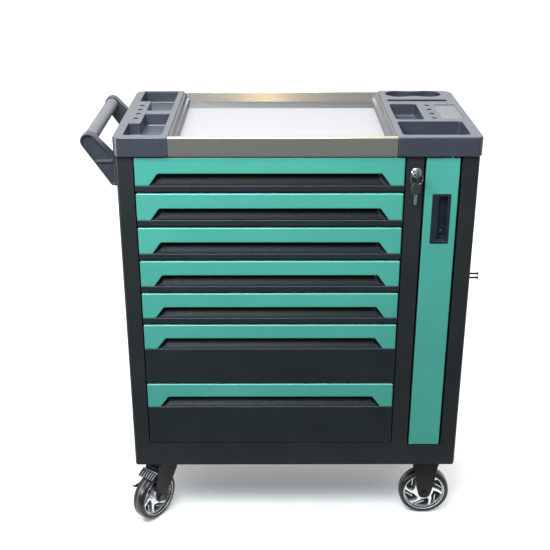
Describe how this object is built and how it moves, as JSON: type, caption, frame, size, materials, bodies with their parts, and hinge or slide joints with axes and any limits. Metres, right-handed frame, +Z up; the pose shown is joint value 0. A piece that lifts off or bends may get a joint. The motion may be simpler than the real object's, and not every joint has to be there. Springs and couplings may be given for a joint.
{
  "type": "tool cart",
  "caption": "Wheeled tool cart: a steel cabinet of shallow and deep drawers with a tall side door, a steel worktop between two moulded trays, a push handle and castors.",
  "frame": {"origin": "on the floor under the middle of the whole cart's box", "axes": "+Z up, the drawer fronts face -Y, the push handle is at -X"},
  "size_m": [0.876, 0.466, 0.9916],
  "materials": {
    "cabinet_paint": "black textured powder coat",
    "front_green": "smooth satin enamel",
    "box_paint": "satin black enamel",
    "moulded_black": "pebbled moulding",
    "tray_grey": "satin moulding",
    "handle_grey": "satin moulding",
    "worktop_steel": "brushed stainless steel",
    "zinc": "zinc plated",
    "bright_chrome": "polished",
    "castor_black": "gloss black",
    "wheel_silver": "silvered",
    "tyre_rubber": "smooth grey-black rubber",
    "pedal_grey": "ribbed moulding"
  },
  "bodies": {
    "cabinet": {"side_panel_left": "cabinet_paint", "side_panel_right": "cabinet_paint", "back_panel": "cabinet_paint", "base_pan": "cabinet_paint", "top_deck": "cabinet_paint", "divider_panel": "cabinet_paint", "runner_uprights": "cabinet_paint", "cabinet_runners": "zinc", "side_shelves": "cabinet_paint", "steel_worktop": "worktop_steel", "left_tray": "tray_grey", "right_tray": "tray_grey", "handle_arms": "handle_grey", "handle_grip": "handle_grey", "mounting_bolts": "zinc", "side_hook": "castor_black", "lock_housing": "bright_chrome", "hinge_pins": "zinc", "swivel_plates": "castor_black", "fixed_forks": "castor_black"},
    "door": {"door_panel": "front_green", "door_pull": "moulded_black"},
    "plug": {"lock_plug": "bright_chrome"},
    "bar": {"lock_bar": "zinc"},
    "keys": {"key_bunch": "bright_chrome"},
    "drawer_1": {"drawer_1_box": "box_paint", "drawer_1_face": "front_green", "drawer_1_pull": "moulded_black"},
    "drawer_2": {"drawer_2_box": "box_paint", "drawer_2_face": "front_green", "drawer_2_pull": "moulded_black"},
    "drawer_3": {"drawer_3_box": "box_paint", "drawer_3_face": "front_green", "drawer_3_pull": "moulded_black"},
    "drawer_4": {"drawer_4_box": "box_paint", "drawer_4_face": "front_green", "drawer_4_pull": "moulded_black"},
    "drawer_5": {"drawer_5_box": "box_paint", "drawer_5_face": "front_green", "drawer_5_pull": "moulded_black"},
    "drawer_6": {"drawer_6_box": "box_paint", "drawer_6_face": "front_green", "drawer_6_pull": "moulded_black"},
    "drawer_7": {"drawer_7_box": "box_paint", "drawer_7_face": "front_green", "drawer_7_pull": "moulded_black"},
    "castor_front": {"swivel_fork_front": "castor_black", "swivel_axle_front": "zinc"},
    "pedal_front": {"brake_pedal_front": "pedal_grey"},
    "swivel_wheel_front": {"swivel_wheel_front": "wheel_silver", "swivel_tyre_front": "tyre_rubber"},
    "fixed_wheel_front": {"fixed_wheel_front": "wheel_silver", "fixed_tyre_front": "tyre_rubber"},
    "castor_rear": {"swivel_fork_rear": "castor_black", "swivel_axle_rear": "zinc"},
    "pedal_rear": {"brake_pedal_rear": "pedal_grey"},
    "swivel_wheel_rear": {"swivel_wheel_rear": "wheel_silver", "swivel_tyre_rear": "tyre_rubber"},
    "fixed_wheel_rear": {"fixed_wheel_rear": "wheel_silver", "fixed_tyre_rear": "tyre_rubber"}
  },
  "joints": [
    {"name": "drawer_1_slide", "type": "slide", "parent": "cabinet", "child": "drawer_1", "axis": [0, -1, 0], "range_m": [0, 0.29]},
    {"name": "drawer_2_slide", "type": "slide", "parent": "cabinet", "child": "drawer_2", "axis": [0, -1, 0], "range_m": [0, 0.29]},
    {"name": "drawer_3_slide", "type": "slide", "parent": "cabinet", "child": "drawer_3", "axis": [0, -1, 0], "range_m": [0, 0.29]},
    {"name": "drawer_4_slide", "type": "slide", "parent": "cabinet", "child": "drawer_4", "axis": [0, -1, 0], "range_m": [0, 0.29]},
    {"name": "drawer_5_slide", "type": "slide", "parent": "cabinet", "child": "drawer_5", "axis": [0, -1, 0], "range_m": [0, 0.29]},
    {"name": "drawer_6_slide", "type": "slide", "parent": "cabinet", "child": "drawer_6", "axis": [0, -1, 0], "range_m": [0, 0.29]},
    {"name": "drawer_7_slide", "type": "slide", "parent": "cabinet", "child": "drawer_7", "axis": [0, -1, 0], "range_m": [0, 0.29]},
    {"name": "door_hinge", "type": "hinge", "parent": "cabinet", "child": "door", "pos_m": [0.356, -0.193, 0.224], "axis": [0, 0, 1], "range_deg": [0, 110]},
    {"name": "lock_turn", "type": "hinge", "parent": "cabinet", "child": "plug", "pos_m": [0.279, -0.199, 0.909], "axis": [0, -1, 0], "range_deg": [0, 90.01]},
    {"name": "lock_bar_lift", "type": "slide", "parent": "cabinet", "child": "bar", "axis": [0, 0, 1], "range_m": [0, 0.006]},
    {"name": "key_swing", "type": "hinge", "parent": "cabinet", "child": "keys", "pos_m": [0.279, -0.2115, 0.909], "axis": [0, 1, 0], "range_deg": [-18, 18]},
    {"name": "swivel_front", "type": "hinge", "parent": "cabinet", "child": "castor_front", "pos_m": [-0.303, -0.144, 0.15], "axis": [0, 0, 1], "continuous": true},
    {"name": "swivel_wheel_spin_front", "type": "hinge", "parent": "castor_front", "child": "swivel_wheel_front", "pos_m": [-0.3258, -0.1744, 0.0625], "axis": [0.8, -0.6, 0], "continuous": true},
    {"name": "brake_pedal_front", "type": "hinge", "parent": "castor_front", "child": "pedal_front", "pos_m": [-0.3234, -0.1712, 0.138], "axis": [0.8, -0.6, 0], "range_deg": [0, 4]},
    {"name": "fixed_wheel_spin_front", "type": "hinge", "parent": "cabinet", "child": "fixed_wheel_front", "pos_m": [0.351, -0.154, 0.0625], "axis": [0, 1, 0], "continuous": true},
    {"name": "swivel_rear", "type": "hinge", "parent": "cabinet", "child": "castor_rear", "pos_m": [-0.303, 0.174, 0.15], "axis": [0, 0, 1], "continuous": true},
    {"name": "swivel_wheel_spin_rear", "type": "hinge", "parent": "castor_rear", "child": "swivel_wheel_rear", "pos_m": [-0.3258, 0.1436, 0.0625], "axis": [0.8, -0.6, 0], "continuous": true},
    {"name": "brake_pedal_rear", "type": "hinge", "parent": "castor_rear", "child": "pedal_rear", "pos_m": [-0.3234, 0.1468, 0.138], "axis": [0.8, -0.6, 0], "range_deg": [0, 4]},
    {"name": "fixed_wheel_spin_rear", "type": "hinge", "parent": "cabinet", "child": "fixed_wheel_rear", "pos_m": [0.351, 0.184, 0.0625], "axis": [0, 1, 0], "continuous": true}
  ],
  "couplings": [
    {"joint": "lock_turn", "follows": "lock_bar_lift", "rad_per_m": 261.8}
  ]
}
